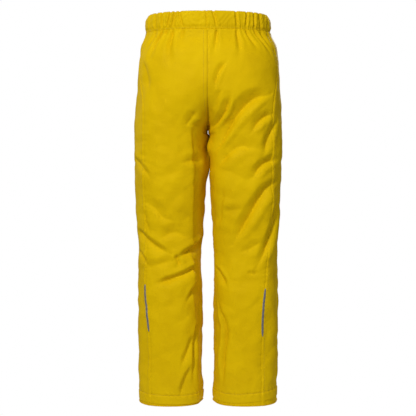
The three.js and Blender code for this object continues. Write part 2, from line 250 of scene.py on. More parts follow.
# Each fold is a valley along a line. In millimetres: how deep it is, how wide it is on either side of
# the line, how high the roll of cloth beside it stands there, and the line's places as (across, drop),
# where across is +X. The first of a pair is for the side towards the garment's middle of a line that
# runs down.
backFolds = [
    # seat, the wearer's right
    (3, (6, 3.4), (0.4, 1.4), (-34, 104), (-21, 120), (-13.5, 142), (-12, 158)),
    (1.8, (6, 4), (0, 0.8), (-26, 160), (-16.5, 174), (-12.5, 204)),
    (5.2, (8.5, 4.2), (0.6, 2.2), (-41, 168), (-32, 200), (-20, 218), (-9, 232)),
    (8, (15, 7), (1, 3.6), (-120, 162), (-88, 173), (-62.5, 196), (-39, 226), (-22.4, 256), (-13, 276)),
    (4.5, (9, 5), (0.4, 2), (-128, 204), (-102.7, 219.6), (-86, 242)),
    (5.2, (10, 6), (0.8, 2), (-137, 222), (-122.5, 254), (-110, 288)),
    (4.2, (15, 9), (0.6, 1.8), (-96, 272), (-64, 266), (-41, 279), (-16, 306)),
    # seat, the wearer's left
    (2.4, (6, 10), (1, 0.4), (134, 100), (126, 130), (123, 160)),
    (3, (6, 10), (0.4, 0.8), (27, 200), (40, 217), (52, 232)),
    (3, (6, 9), (0.6, 1.2), (12, 296), (34, 300), (58, 304)),
    # thighs
    (5.2, (9.5, 5.5), (0.6, 2.6), (-137, 298), (-110, 309), (-88, 334)),
    (7.2, (12, 8), (2.2, 3.4), (-138, 342), (-114, 362), (-82, 412), (-46, 472)),
    (6.8, (12, 7), (2, 2), (-148, 352), (-138.5, 421), (-121, 480), (-94, 528)),
    (1.6, (9, 2.4), (0, 0.6), (-31, 358), (-27, 400), (-21, 446)),
    (1.6, (8, 8), (0.8, 0.8), (-30, 408), (-50, 402), (-72, 400)),
    (3, (6, 9), (1.2, 0.6), (150, 298), (134, 319), (116, 340)),
    (3, (12, 9), (0.6, 1), (103, 461), (69, 447), (36, 459)),
    (2.4, (10, 8), (0.6, 0.8), (130, 387), (109, 402), (92, 421), (67, 427)),
    (1.8, (5, 6), (0.4, 0.6), (134.6, 406), (128.3, 438), (120, 459)),
    # knees
    (1.8, (7, 8), (0.8, 0.8), (-60, 491), (-84, 484), (-112, 466)),
    (2.4, (4, 5), (0.6, 1), (-80, 534), (-92, 538), (-106, 536)),
    (4, (10, 5), (0, 1.8), (-18, 528), (-26, 545), (-40, 566)),
    (5.8, (7, 13), (1.4, 1.2), (148, 450), (126, 470), (100, 486), (76, 497)),
    (8, (11, 7), (2, 3), (9, 462), (26, 484), (52, 496), (68, 502)),
    (3.6, (5, 4), (0.8, 1), (68, 500), (63, 512), (58, 526)),
    (6.2, (9, 6), (1.6, 2.6), (22, 521), (34, 530), (66, 544.5), (112, 558)),
    (2.4, (8, 8), (1.2, 1), (66, 506), (100, 514), (138, 526)),
    (4, (5, 6), (1.2, 1), (146, 494), (137, 507), (126, 522)),
    (5, (14, 6), (0, 1.8), (34, 500), (28, 530), (24, 560), (36, 584), (50, 604)),
    # calves
    (5, (7, 5), (1.6, 1.4), (18, 590), (22, 640), (29, 690), (32, 770)),
    (3.6, (6, 6), (1, 1.4), (32, 664), (44, 700), (60, 738)),
    (4, (20, 5), (0, 1.6), (38, 735), (50, 764), (62, 800)),
    (5, (6, 6), (2.6, 1.2), (-20, 604), (-35, 660), (-30, 720), (-30, 784)),
    (1.6, (12, 16), (0.8, 0), (-128, 620), (-112, 700), (-110, 780)),
]
frontFolds = [
    (4.6, (9, 6), (1, 2.2), (104, 196), (62, 222), (14, 240)),
    (5.6, (11, 7), (1.4, 2.6), (130, 244), (82, 262), (18, 266)),
    (3.4, (7, 5), (0.6, 1.6), (54, 160), (30, 200), (12, 230)),
    (4.8, (9, 6), (1, 2.2), (-96, 182), (-60, 214), (-14, 238)),
    (5.8, (11, 7), (1.4, 2.6), (-132, 240), (-86, 264), (-22, 272)),
    (4, (9, 7), (0.8, 1.8), (-64, 296), (-42, 330), (-18, 352)),
    (3.4, (12, 15), (0.6, 1.2), (130, 296), (94, 366), (46, 446)),
    (2.6, (8, 11), (0.6, 1), (140, 352), (122, 398), (96, 438)),
    (3.2, (13, 12), (0.6, 1.2), (-122, 312), (-92, 378), (-56, 434)),
    (4.4, (8, 6), (1, 1.8), (22, 440), (36, 470), (64, 486)),
    (4.4, (8, 6), (1.2, 1.8), (140, 466), (116, 490), (88, 502)),
    (4.4, (8, 7), (1.2, 1.8), (-20, 450), (-40, 478), (-70, 490)),
    (4, (8, 7), (1, 1.6), (-142, 516), (-112, 534), (-86, 530)),
    (3.8, (9, 8), (1, 1.6), (30, 556), (54, 580), (94, 586)),
    (2.6, (11, 13), (0.6, 1), (-36, 596), (-66, 656), (-108, 706)),
    (2.6, (7, 9), (0.6, 1), (-28, 738), (-68, 758), (-116, 750)),
    (2.6, (11, 13), (0.6, 1), (128, 566), (102, 622), (62, 682)),
    (2.8, (8, 9), (0.6, 1), (44, 716), (78, 740), (122, 744)),
]
folding = {
    "scale": 1.5,
    "lean": 0.8,                      # how far a valley's foot lies beyond its line, in widths
    "towardsKey": (0.55, -0.83),      # where the key light stands, across and down
    "beside": 0.5,
    "calm": 0.6,                      # how much of a fold is lost where it crosses the outer side
}


def smoothLine(points, steps=6):
    # a Catmull-Rom curve through a few points
    p = [np.array(q, float) for q in points]
    p = [2 * p[0] - p[1]] + p + [2 * p[-1] - p[-2]]
    out = []
    for a, b, c, d in zip(p, p[1:], p[2:], p[3:]):
        for s in np.linspace(0, 1, steps, endpoint=False):
            bend = (2 * a - 5 * b + 4 * c - d) * s ** 2 + (3 * b - a - 3 * c + d) * s ** 3
            out.append(0.5 * (2 * b + (c - a) * s + bend))
    return np.array(out + [p[-2]])


def foldHeight(depth, widths, rolls, line, arc, drop, shaded):
    # line and arc are measured along the cloth from the outer side; shaded is the side of the line,
    # 1 or -1, where the cloth falls evenly into the valley, while it springs up from it on the other
    margin = 4 * max(widths) + 0.01
    low, high = line.min(0) - margin, line.max(0) + margin
    near = (arc > low[0]) & (arc < high[0]) & (drop > low[1]) & (drop < high[1])
    height = np.zeros_like(arc)
    if not near.any():
        return height
    q = np.stack([arc[near], drop[near]], -1)
    best = np.full(len(q), 1e9)
    side = np.zeros(len(q))
    along = np.zeros(len(q))
    start = measure(line)
    for a, b, before, after in zip(line, line[1:], start, start[1:]):
        ab = b - a
        s = np.clip((q - a) @ ab / (ab @ ab), 0, 1)
        off = q - (a + s[:, None] * ab)
        distance = np.linalg.norm(off, axis=1)
        closer = distance < best
        best = np.where(closer, distance, best)
        side = np.where(closer, np.sign(off[:, 0] * ab[1] - off[:, 1] * ab[0]), side)
        along = np.where(closer, before + s * (after - before), along)
    share = along / start[-1]
    ends = smoothstep(share, 0, 0.30) * (1 - smoothstep(share, 0.70, 1))
    d = best / (np.where(side > 0, *widths) * (0.6 + 0.4 * ends))
    bottom = np.sqrt(d * d + 0.006) - 0.077
    falling = np.clip(1 - bottom / 1.8, 0, 1) ** 1.25
    springing = np.exp(-1.5 * bottom - 0.22 * d * d)
    valley = -folding["scale"] * depth * np.where(side * shaded > 0, falling, springing)
    roll = folding["beside"] * folding["scale"] * np.where(side > 0, *rolls)
    valley += roll * bump(d - 2.0, 1.1)
    height[near] = valley * (0.12 + 0.88 * ends) * smoothstep(4.0 - d, 0, 1)
    return height


def waves(points, count, scale, seed):
    # smooth uneven ground: a sum of plane waves in random directions, about 1 high
    draw = np.random.default_rng(seed)
    total = np.zeros(points.shape[:-1])
    for _ in range(count):
        way = draw.normal(size=3)
        way /= np.linalg.norm(way)
        wave = 2 * math.pi / (scale * draw.uniform(0.7, 1.6))
        total += np.sin(points @ way * wave + draw.uniform(0, 6.28))
    return total / math.sqrt(count / 2)


def measure(path):
    return np.concatenate([[0], np.cumsum(np.linalg.norm(np.diff(path, axis=0), axis=1))])


def spacedBetween(start, end, step):
    return np.linspace(start, end, max(2, int(round((end - start) / step)) + 1))


def clothRows():
    # drops of the rows, crowded towards the crotch
    top = spacedBetween(band["panelTop"], cut["band"] + 0.022, grid["fineStep"])
    body = spacedBetween(top[-1], cut["crotch"] - grid["crowded"], grid["rowStep"])
    crowd = cut["crotch"] - grid["crowded"] * np.linspace(1, 0, grid["crotchRows"] + 1) ** 2
    after = cut["crotch"] + np.array([0.0004, 0.0014, 0.0032])
    toSplit = spacedBetween(after[-1], grid["split"], grid["rowStep"])
    toHem = spacedBetween(grid["split"], cut["hem"] - 0.028, grid["rowStep"])
    fine = spacedBetween(toHem[-1], cut["hem"] - hem["fold"], grid["fineStep"])
    return np.concatenate([top, body[1:], crowd[1:], after[:-1], toSplit, toHem[1:], fine[1:], [cut["hem"]]])


def clothColumns():
    # turns of the columns, crowded beside each seam, over a mean width of cloth
    girth = 0.225

    def panel(start, end):
        edge = np.array(grid["seamSteps"]) / girth
        middle = spacedBetween(start + edge[-1], end - edge[-1], grid["columnStep"] / girth)
        return np.concatenate([start + edge[:-1], middle, end - edge[:-1][::-1]])

    front = panel(-1, cut["outseam"])
    back = panel(cut["outseam"], 1)
    return np.concatenate([front, back[1:]]), len(front) - 1


band = {
    "foot": 0.0362,                   # where the casing's outer wall ends, below its stitch line
    "stitch": 0.0340,
    "panelTop": 0.0346,               # the panels start behind that wall
    "tuck": 0.00135,
    "roll": 0.00225,                  # radius of the fold along the top edge
    "puff": 0.0019,                   # how far the gathered cloth stands off the elastic
    "puffBelow": 0.0013,
    "slump": 0.0075,                  # how far the top edge leans in at the two sides
    "slumpDrop": 0.019,
    "notch": 0.0013,                  # how deep a crease cuts the top edge
    "elasticTop": 0.0022,
    "elasticFoot": 0.0332,
    "elasticInset": (-0.0015, -0.0029),
}
hem = {
    "stitch": 0.0205,                 # height of the stitch line above the edge
    "fold": 0.0016,                   # the cloth turns under over this last height
    "facing": 0.0222,
    "drawn": 0.0009,
    "proud": 0.0007,
    "pucker": 0.00045,
    "ripple": 0.0125,
}
seams = {
    "groove": 0.0008,
    "grooveWidth": 0.0015,
    "lap": 0.0007,                    # the side that a seam's allowance is pressed to stands this proud
    "lapWidth": 0.0085,
    "topstitch": 0.0062,
    "backRows": (0.0018, 0.0095),     # the centre seam's two rows of topstitch
    "pucker": 0.0003,
    "ripple": 0.0135,                 # spacing of the puckers
    "sewn": 0.0004,                   # how deep a row of stitches draws the cloth in
    "sewnWidth": 0.0011,
}
piping = {"top": {1: 0.562, -1: 0.571}, "length": 0.102, "width": 0.0042, "height": 0.0012, "taper": 0.010}

rows = clothRows()
turns, outseamColumn = clothColumns()
crotchRow = int(np.argmin(np.abs(rows - cut["crotch"])))
splitRow = int(np.argmin(np.abs(rows - grid["split"])))
sideColumn = int(np.argmin(np.abs(turns)))
angles = turns * math.pi / 2          # round the waist from the wearer's left side to the back


def rowFrom(drop):
    return int(np.searchsorted(rows, drop))


def makeGathers():
    # Creases of the gathered waistband. The ones at the back are listed: across at the
    # band's foot, depth, width, how far one runs on below, and which way it goes there.
    placed = [
        (0.1225, 0.0030, 0.0030, 0.060, 0.1), (0.1080, 0.0034, 0.0030, 0.050, 0.0),
        (0.0930, 0.0062, 0.0019, 0.070, 0.1), (0.0835, 0.0056, 0.0017, 0.012, 0.2),
        (0.0725, 0.0062, 0.0019, 0.090, -0.10), (0.0510, 0.0036, 0.0019, 0.030, 0.0),
        (0.0207, 0.0008, 0.0034, 0.044, 0.0), (0.0036, 0.0016, 0.0013, 0.004, 0.0),
        (-0.0188, 0.0042, 0.0018, 0.062, 0.17),
        (-0.0598, 0.0042, 0.0018, 0.074, 0.09), (-0.0780, 0.0040, 0.0018, 0.050, -0.20),
        (-0.0950, 0.0040, 0.0019, 0.064, -0.30), (-0.1080, 0.0026, 0.0030, 0.054, -0.10),
        (-0.1220, 0.0022, 0.0030, 0.040, 0.0),
    ]
    draw = np.random.default_rng(11)
    reach = float(outerReach(band["foot"]))
    every = np.concatenate([angles, math.pi - angles[::-1]])
    made = []

    def add(angle, depth, width, run, lean):
        snapped = float(every[np.argmin(np.abs(every - angle))])
        turned = -lean / (reach * max(abs(math.sin(angle)), 0.45)) * (1 if math.sin(angle) > 0 else -1)
        made.append({"at": snapped, "depth": depth, "width": width, "run": run, "lean": turned,
                     "bandLean": draw.uniform(-2.4, 2.4) * (width > 0.0014)})

    for across, depth, width, run, lean in placed:
        add(math.acos(across / reach), depth, width, run, lean)
    at = math.pi + 0.10
    while at < 2 * math.pi - 0.06:
        depth = draw.uniform(0.0020, 0.0044)
        add(at, depth, draw.uniform(0.0017, 0.0026), draw.uniform(0.3, 1.0) * depth * 20,
            draw.uniform(-0.2, 0.2))
        at += draw.uniform(0.075, 0.165)
    return made


gathers = makeGathers()


def ruffleHeight(angle, drop):
    # how far the gathered cloth stands out round the waist
    angle, drop = np.broadcast_arrays(angle, drop)
    held = bump(drop - band["stitch"], 0.0040)
    below = smoothstep(drop, band["stitch"], band["stitch"] + 0.004)
    puff = mix(band["puff"], band["puffBelow"], below)
    puff = puff * (1 - smoothstep(drop, cut["band"] + 0.008, cut["band"] + 0.055))
    radius = cut["waistHalf"] * 0.86
    creased = np.zeros(angle.shape)
    beside = np.zeros(angle.shape)
    for g in gathers:
        past = np.maximum(drop - band["foot"], 0)
        lean = g["lean"] * past + g["bandLean"] * np.minimum(drop - band["foot"], 0)
        d = (np.mod(angle - g["at"] - lean + math.pi, 2 * math.pi) - math.pi) * radius
        d = np.abs(d) / (g["width"] * (1 + past / 0.045))
        fade = 1 - smoothstep(past, 0.25 * g["run"], g["run"])
        creased += g["depth"] * fade * np.exp(-(np.sqrt(d * d + 0.09) - 0.3))
        beside += 0.34 * g["depth"] * fade * bump(d - 2.4, 1.3)
    pucker = np.sin(angle * 2 * math.pi / 0.062 + 2.2 * np.sin(angle * 11 + 1)) * 0.5
    pucker += np.sin(angle * 2 * math.pi / 0.038 + 1.7 * np.sin(angle * 7)) * 0.5
    near = np.exp(-(np.abs(drop - band["stitch"]) / 0.0065) ** 1.5)
    height = puff * (1 - 0.92 * held) + beside * (1 - 0.6 * held)
    height += 0.00050 * pucker * near
    bulge = np.sin(angle * 31 + 3 * np.sin(drop * 130 + angle * 9))
    bulge = bulge * np.sin(drop * 230 + 2.5 * np.sin(angle * 17))
    height += 0.00055 * bulge * smoothstep(drop, 0.003, 0.010) * (1 - smoothstep(drop, 0.028, 0.034))
    deepest = height + 0.0004 + 0.0030 * smoothstep(drop, 0.038, 0.046)
    return height - np.minimum(creased, deepest) * (1 - 0.35 * held)


def centreRows(fromSeam):
    # the centre seam: a groove, and a lapped strip held by two rows of stitch on the wearer's left
    first, second = seams["backRows"]
    lapped = smoothstep(fromSeam, 0.0, 0.0012) * (1 - smoothstep(fromSeam, second, second + 0.003))
    height = seams["lap"] * lapped - seams["groove"] * 1.2 * bump(fromSeam, 0.0016)
    for row in (first, second):
        height -= seams["sewn"] * bump(fromSeam - row, seams["sewnWidth"])
    return height


fullness = {
    1: {"out": 0.0038, "drop": 0.315, "reach": 0.115},
    -1: {"out": 0.0042, "drop": 0.245, "reach": 0.205},
}
twists = {
    1: {"turn": 0.055, "from": 0.570, "to": 0.700},
    -1: {"turn": 0.095, "from": 0.430, "to": 0.640},
}
# the wearer's left leg lies flat along its inner side, between a soft edge and the inseam
flatSide = {"edge": (0.66, 0.705, 0.79), "share": 0.86, "soft": 0.05}
hemRaise = {1: (0.001, 0.005, 0.003), -1: (0.0025, 0.010, 0.006)}   # all round, outside and inside
press = {
    "from": 0.2446, "to": 0.352,      # drops between which the thighs touch
    "even": -0.0035, "bulge": 0.0062, "at": 0.278, "reach": 0.017,
    "front": -0.0062,
    "depth": 0.010,
    "sag": 0.0055,                    # how far the crotch hangs down between front and back
    "apart": 0.0005,                  # half the least gap between the two halves
}
unevenness = [
    # height, how many waves, their length, seed, and whether they are folded up into creases
    (0.00085, 12, 0.085, 3, False),
    (0.00034, 16, 0.030, 4, False),
    (0.00010, 20, 0.011, 5, False),
    (0.00080, 5, 0.080, 12, True),
    (-0.00035, 6, 0.036, 14, True),
]


def pressed(points, drop):
    # below the crotch the thighs lie against each other, and the right one pushes into the left one
    inside = smoothstep(drop, press["from"], press["from"] + 0.006)
    inside = inside * (1 - smoothstep(drop, press["to"] - 0.040, press["to"]))
    behind = press["even"] + press["bulge"] * bump(drop - press["at"], press["reach"])
    across = mix(press["front"], behind, 0.5 + 0.5 * np.tanh(points[..., 1] / press["depth"]))
    across = across * inside * bump(points[..., 0], 0.020)
    sag = press["sag"] * bump(drop - cut["crotch"], 0.016)
    sag = sag * np.exp(-(points[..., 0] / 0.016) ** 2 - (points[..., 1] / 0.045) ** 2)
    return np.stack([across, np.zeros_like(across), -sag], -1)


def faceBase(side, turn, drop):
    # one half's face before its folds, with its twist, its flat inner side and its hanging hem
    twist = twists[side]
    twist = twist["turn"] * smoothstep(rows[:, None], twist["from"], twist["to"])
    base = clothFace(turn, drop, twist)
    if side > 0:
        edge = through(list(zip((cut["crotch"], thigh(0.7), cut["hem"]), flatSide["edge"])))(rows)[:, None]
        start = clothFace(edge, rows[:, None], twist)
        along = np.clip((turn - edge) / (1 - edge), 0, 1)[..., None]
        flat = start + (base[:, -1:] - start) * along
        share = flatSide["share"] * smoothstep(turn, edge, edge + flatSide["soft"])
        share = share * smoothstep(drop, cut["crotch"] - 0.02, cut["crotch"] + 0.03)
        base = mix(base, flat, share[..., None])
    even, outside, inside = hemRaise[side]
    raised = even + outside * bump(turn, 0.45) + inside * bump(1 - np.abs(turn), 0.35)
    base[..., 2] += raised * smoothstep(drop, cut["hem"] - 0.12, cut["hem"])
    return base


def foldsOn(side, base, arc, drop, fromFront, fromBack):
    # all folds of one half, each line carried from its places across to lengths along the cloth
    height = np.zeros_like(drop)
    for folds, half, fromSeam in ((backFolds, 1, fromBack), (frontFolds, -1, fromFront)):
        quiet = smoothstep(fromSeam, 0.001, np.where(drop < cut["crotch"], 0.014, 0.006))
        columns = np.arange(sideColumn, len(turns)) if half > 0 else np.arange(sideColumn, -1, -1)
        for depth, widths, rolls, *places in folds:
            if np.sign(places[0][0]) != side:
                continue
            widths = np.array(widths) / 1000
            line = []
            for across, level in smoothLine(np.array(places) / 1000):
                i = int(np.argmin(np.abs(rows - level)))
                away = -np.abs(base[i, columns, 0])
                line.append((np.interp(-abs(across), away, np.abs(arc[i, columns])), level))
            line = np.array(line)
            way = unit(line[-1] - line[0])
            beside = np.array([way[1], -way[0]])
            towards = beside @ (np.array([-side, 1]) * folding["towardsKey"])
            shaded = 1 if towards > 0 else -1
            if half > 0:
                # a line follows the shaded slope, so the valley's foot lies beyond it from the key light
                line = line - beside * towards * folding["lean"] * widths[0 if towards > 0 else 1]
            rolls = np.array(rolls) / 1000
            height += foldHeight(depth / 1000, widths, rolls, line, arc * half, drop, shaded) * quiet
    return height


def clothSide(side):
    # one half's finished outer face: side is 1 for the wearer's left and -1 for the right
    turn, drop = np.meshgrid(turns, rows)
    base = faceBase(side, turn, drop)
    normal = normalsOf(base, crotchRow)
    step = np.linalg.norm(np.diff(base, axis=1), axis=-1)
    reach = np.concatenate([np.zeros((len(rows), 1)), np.cumsum(step, 1)], 1)
    arc = reach - reach[:, sideColumn:sideColumn + 1]
    fromOutseam = reach - reach[:, outseamColumn:outseamColumn + 1]
    fromBack = reach[:, -1:] - reach
    fromFront = reach
    base[..., 0] *= side
    normal[..., 0] *= side
    height = foldsOn(side, base, arc, drop, fromFront, fromBack) * (1 - folding["calm"] * bump(turn, 0.17))

    # the hips stand out a little unevenly, as worn
    full = fullness[side]
    height += full["out"] * np.exp(-((drop - full["drop"]) / full["reach"]) ** 4) * bump(turn, 0.45)

    # soft unevenness of filled cloth, quiet at the waistband and the hem
    ease = smoothstep(drop, cut["band"], cut["band"] + 0.05) * mix(0.55, 1, smoothstep(drop, 0.14, 0.26))
    ease = ease * (1 - 0.6 * smoothstep(drop, cut["hem"] - 0.05, cut["hem"]))
    for amount, count, scale, seed, creased in unevenness:
        ground = waves(base, count, scale, seed)
        height += amount * ease * (np.abs(ground) if creased else ground)

    around = angles if side > 0 else math.pi - angles
    atWaist = rows < cut["band"] + 0.09
    height[atWaist] += ruffleHeight(around[None, :], rows[atWaist, None])
    height -= band["tuck"] * (1 - smoothstep(drop, band["foot"], band["foot"] + 0.0020))

    # seams, with the cloth a little puckered along their stitches
    belowBand = smoothstep(drop, band["foot"], band["foot"] + 0.004)
    start, end = piping["top"][side], piping["top"][side] + piping["length"]
    clearOfPiping = 1 - smoothstep(drop, start - 0.004, start) * (1 - smoothstep(drop, end, end + 0.004))
    lapped = smoothstep(-fromOutseam, -0.0004, 0.0012) - smoothstep(
        -fromOutseam, seams["lapWidth"] - 0.001, seams["lapWidth"] + 0.002)
    groove = bump(fromOutseam, seams["grooveWidth"])
    sewn = -seams["sewn"] * bump(fromOutseam + seams["topstitch"], seams["sewnWidth"])
    height += (seams["lap"] * lapped - seams["groove"] * groove * clearOfPiping + sewn) * belowBand
    inSeat = 1 - smoothstep(drop, cut["crotch"] - 0.030, cut["crotch"] - 0.010)
    height += (centreRows(side * fromBack) + centreRows(side * fromFront)) * belowBand * inSeat
    onLeg = smoothstep(drop, cut["crotch"] - 0.002, cut["crotch"] + 0.02)
    height -= seams["groove"] * onLeg * (bump(fromBack, 0.0016) + bump(fromFront, 0.0016))
    ripple = np.sin(drop * 2 * math.pi / seams["ripple"] + 2.5 * waves(base, 6, 0.06, 8))
    height += seams["pucker"] * ripple * ease * bump(fromOutseam, 0.009)
    height += 0.8 * seams["pucker"] * ripple * ease * bump(fromBack - 0.006, 0.008)

    # the hem's stitch line draws the cloth in, and the double cloth below it stands a little proud
    aboveEdge = cut["hem"] - drop
    height -= hem["drawn"] * bump(aboveEdge - hem["stitch"], 0.0020)
    height += hem["proud"] * (1 - smoothstep(aboveEdge, hem["stitch"] - 0.004, hem["stitch"]))
    pucker = np.sin(reach * 2 * math.pi / hem["ripple"] + 3 * waves(base, 6, 0.05, 9))
    height += hem["pucker"] * pucker * bump(aboveEdge - hem["stitch"], 0.009)

    points = base + normal * height[..., None]
    points[..., 0] = side * np.maximum(points[..., 0] * side, press["apart"])
    points += pressed(points, drop)
    points[:crotchRow + 1, [0, -1], 0] = 0
    points[crotchRow:, -1] = points[crotchRow:, 0]
    finished = normalsOf(points, crotchRow) * side
    finished[:crotchRow, [0, -1], 0] *= 0.3      # so that the two halves shade alike at the centre seam
    return points, unit(finished), np.stack([fromOutseam, drop], -1)


def newObject(name, data):
    made = bpy.data.objects.new(name, data)
    bpy.context.scene.collection.objects.link(made)
    return made


def newPiece(name, vertices, faces, loopUv, material, inner=None, innerFrom=None):
    mesh = bpy.data.meshes.new(name)
    mesh.from_pydata(vertices.tolist(), [], faces)
    mesh.update()
    layer = mesh.uv_layers.new(name="cloth")
    layer.data.foreach_set("uv", loopUv.astype(np.float32).ravel())
    mesh.materials.append(material)
    if inner is not None:
        mesh.materials.append(inner)
        slot = np.zeros(len(faces), np.int32)
        slot[innerFrom[0]:innerFrom[1]] = 1
        mesh.polygons.foreach_set("material_index", slot)
    mesh.shade_smooth()
    return newObject(name, mesh)


def setNormals(mesh, normals):
    # the grid's own normals, apart from the rims, which keep their faces' normals
    index = np.zeros(len(mesh.loops), np.int32)
    mesh.loops.foreach_get("vertex_index", index)
    faceNormal = np.zeros(len(mesh.polygons) * 3, np.float32)
    mesh.polygons.foreach_get("normal", faceNormal)
    faceNormal = faceNormal.reshape(-1, 3)
    total = np.zeros(len(mesh.polygons), np.int32)
    mesh.polygons.foreach_get("loop_total", total)
    faceOf = np.repeat(np.arange(len(total)), total)
    agree = (normals[index] * faceNormal[faceOf]).sum(-1)
    worst = np.full(len(total), 2.0)
    np.minimum.at(worst, faceOf, agree)
    perLoop = np.where((worst[faceOf] < 0.35)[:, None], faceNormal[faceOf], normals[index])
    mesh.normals_split_custom_set(perLoop.tolist())


def gridFaces(height, width, offset, flip):
    i, j = np.meshgrid(np.arange(height - 1), np.arange(width - 1), indexing="ij")
    a = offset + i * width + j
    corners = [a, a + 1, a + width + 1, a + width] if flip else [a, a + width, a + width + 1, a + 1]
    return np.stack(corners, -1).reshape(-1, 4).tolist()


def rimFaces(height, width, offset, flip):
    # walls between an outer grid and an inner grid that starts at offset
    ring = [(0, j) for j in range(width)] + [(i, width - 1) for i in range(1, height)]
    ring += [(height - 1, j) for j in range(width - 2, -1, -1)] + [(i, 0) for i in range(height - 2, 0, -1)]
    at = [i * width + j for i, j in ring]
    faces = []
    for a, b in zip(at, at[1:] + at[:1]):
        faces.append([a, a + offset, b + offset, b] if flip else [a, b, b + offset, a + offset])
    return faces


def doublePiece(name, outer, under, uv, flip, material, inner=None):
    # two faces from [row, column] grids, with walls round their edges
    height, width = outer.shape[:2]
    half = height * width
    faces = gridFaces(height, width, 0, flip) + gridFaces(height, width, half, not flip)
    skin = len(faces) // 2
    faces += rimFaces(height, width, half, flip)
    loopUv = np.concatenate([uv.reshape(-1, 2)] * 2)[np.array(faces).ravel()]
    vertices = np.concatenate([outer.reshape(-1, 3), under.reshape(-1, 3)])
    return newPiece(name, vertices, faces, loopUv, material, inner, (skin, 2 * skin))


def sheetPiece(name, outer, normal, uv, thickness, flip, material, inner=None):
    piece = doublePiece(name, outer, outer - normal * thickness, uv, flip, material, inner)
    setNormals(piece.data, np.concatenate([normal.reshape(-1, 3), -normal.reshape(-1, 3)]))
    return piece


def ringPiece(name, points, material, uvFrom=0, inner=None, innerRows=(0, 0)):
    # a closed tube of cloth: the [row, column] grid joins up both ways, and uv has one more of each
    girth = measure(np.concatenate([points[0], points[0][:1]]))
    path = measure(np.concatenate([points[:, 0], points[:1, 0]]))
    uv = np.stack(np.meshgrid(girth, path + uvFrom), -1)
    height, width = points.shape[:2]
    i, j = np.meshgrid(np.arange(height), np.arange(width), indexing="ij")
    corners = [(i, j), (i + 1, j), (i + 1, j + 1), (i, j + 1)]
    quad = np.stack([(a % height) * width + b % width for a, b in corners], -1).reshape(-1, 4)
    loopUv = np.stack([uv[a, b] for a, b in corners], 2).reshape(-1, 2)
    flat = points.reshape(-1, 3)
    a, b, c, d = (flat[quad[:, k]] for k in range(4))
    volume = np.einsum("ij,ij->i", a, np.cross(b, c)).sum() + np.einsum("ij,ij->i", a, np.cross(c, d)).sum()
    if volume < 0:
        quad = quad[:, ::-1]
        loopUv = loopUv.reshape(-1, 4, 2)[:, ::-1].reshape(-1, 2)
    piece = newPiece(name, flat, quad.tolist(), loopUv, material, inner, [row * width for row in innerRows])
    piece.data.set_sharp_from_angle(angle=0.9)
    return piece, girth


def acrossRows(points, normal, levels, seamColumn, offsets, wrap=False):
    # places at set distances from a seam's column, row by row; wrap joins a leg's two ends there
    places = np.zeros((len(levels), len(offsets), 3))
    facing = np.zeros_like(places)
    for i, level in enumerate(levels):
        p, n, centre = points[level], normal[level], seamColumn
        if wrap:
            p = np.concatenate([p[-24:-1], p[:24]])
            n = np.concatenate([n[-24:-1], n[:24]])
            centre = 23
        at = measure(p)
        at -= at[centre]
        for k in range(3):
            places[i, :, k] = np.interp(offsets, at, p[:, k])
            facing[i, :, k] = np.interp(offsets, at, n[:, k])
    return places, unit(facing)


def atDrop(grid3, drop):
    # one line of a grid of points or normals at a drop between two rows
    i = int(np.clip(np.searchsorted(rows, drop) - 1, 0, len(rows) - 2))
    return mix(grid3[i], grid3[i + 1], (drop - rows[i]) / (rows[i + 1] - rows[i]))


class Finish:
    # one material and the nodes that make it, laid out in metres along the cloth
    def __init__(self, name):
        self.material = bpy.data.materials.new(name)
        self.material.use_nodes = True
        self.nodes = self.material.node_tree.nodes
        self.links = self.material.node_tree.links
        self.shader = self.nodes["Principled BSDF"]
        self.uv = self.add("ShaderNodeUVMap").outputs[0]
        self.uv.node.uv_map = "cloth"

    def add(self, kind, **inputs):
        # a node, and what goes into it: a number, a colour or another node's output
        node = self.nodes.new(kind)
        for name, value in inputs.items():
            self.set(node.inputs[name.replace("_", " ")], value)
        return node

    def set(self, socket, value):
        if isinstance(value, bpy.types.NodeSocket):
            self.links.new(value, socket)
        else:
            socket.default_value = value

    def noise(self, scale, detail=3, rough=0.5):
        return self.add("ShaderNodeTexNoise", Scale=scale, Detail=detail, Roughness=rough,
                        Vector=self.uv).outputs["Fac"]

    def threads(self, direction, pitch, distortion=0.5):
        node = self.add("ShaderNodeTexWave", Scale=2 * math.pi / (20 * pitch), Distortion=distortion,
                        Vector=self.uv)
        node.bands_direction = direction
        return node.outputs["Fac"]

    def math(self, operation, a, b):
        node = self.add("ShaderNodeMath")
        node.operation = operation
        self.set(node.inputs[0], a)
        self.set(node.inputs[1], b)
        return node.outputs[0]

    def both(self, a, share, b):
        # a and b together, a with this share
        return self.math("ADD", self.math("MULTIPLY", a, share), self.math("MULTIPLY", b, 1 - share))

    def ramp(self, factor, *stops):
        node = self.add("ShaderNodeValToRGB", Fac=factor)
        elements = node.color_ramp.elements
        while len(elements) < len(stops):
            elements.new(0.5)
        for element, (position, colour) in zip(elements, stops):
            element.position = position
            element.color = (*colour, 1)
        return node.outputs["Color"]

    def bump(self, height, distance, strength, under=None):
        node = self.add("ShaderNodeBump", Distance=distance, Strength=strength, Height=height)
        if under is not None:
            self.set(node.inputs["Normal"], under)
        return node.outputs["Normal"]

    def finish(self, colour, normal, factor, roughness):
        low, high = roughness
        spread = self.add("ShaderNodeMapRange", To_Min=low, To_Max=high, Value=factor)
        self.set(self.shader.inputs["Base Color"], colour)
        self.set(self.shader.inputs["Normal"], normal)
        self.set(self.shader.inputs["Roughness"], spread.outputs["Result"])
        return self.material


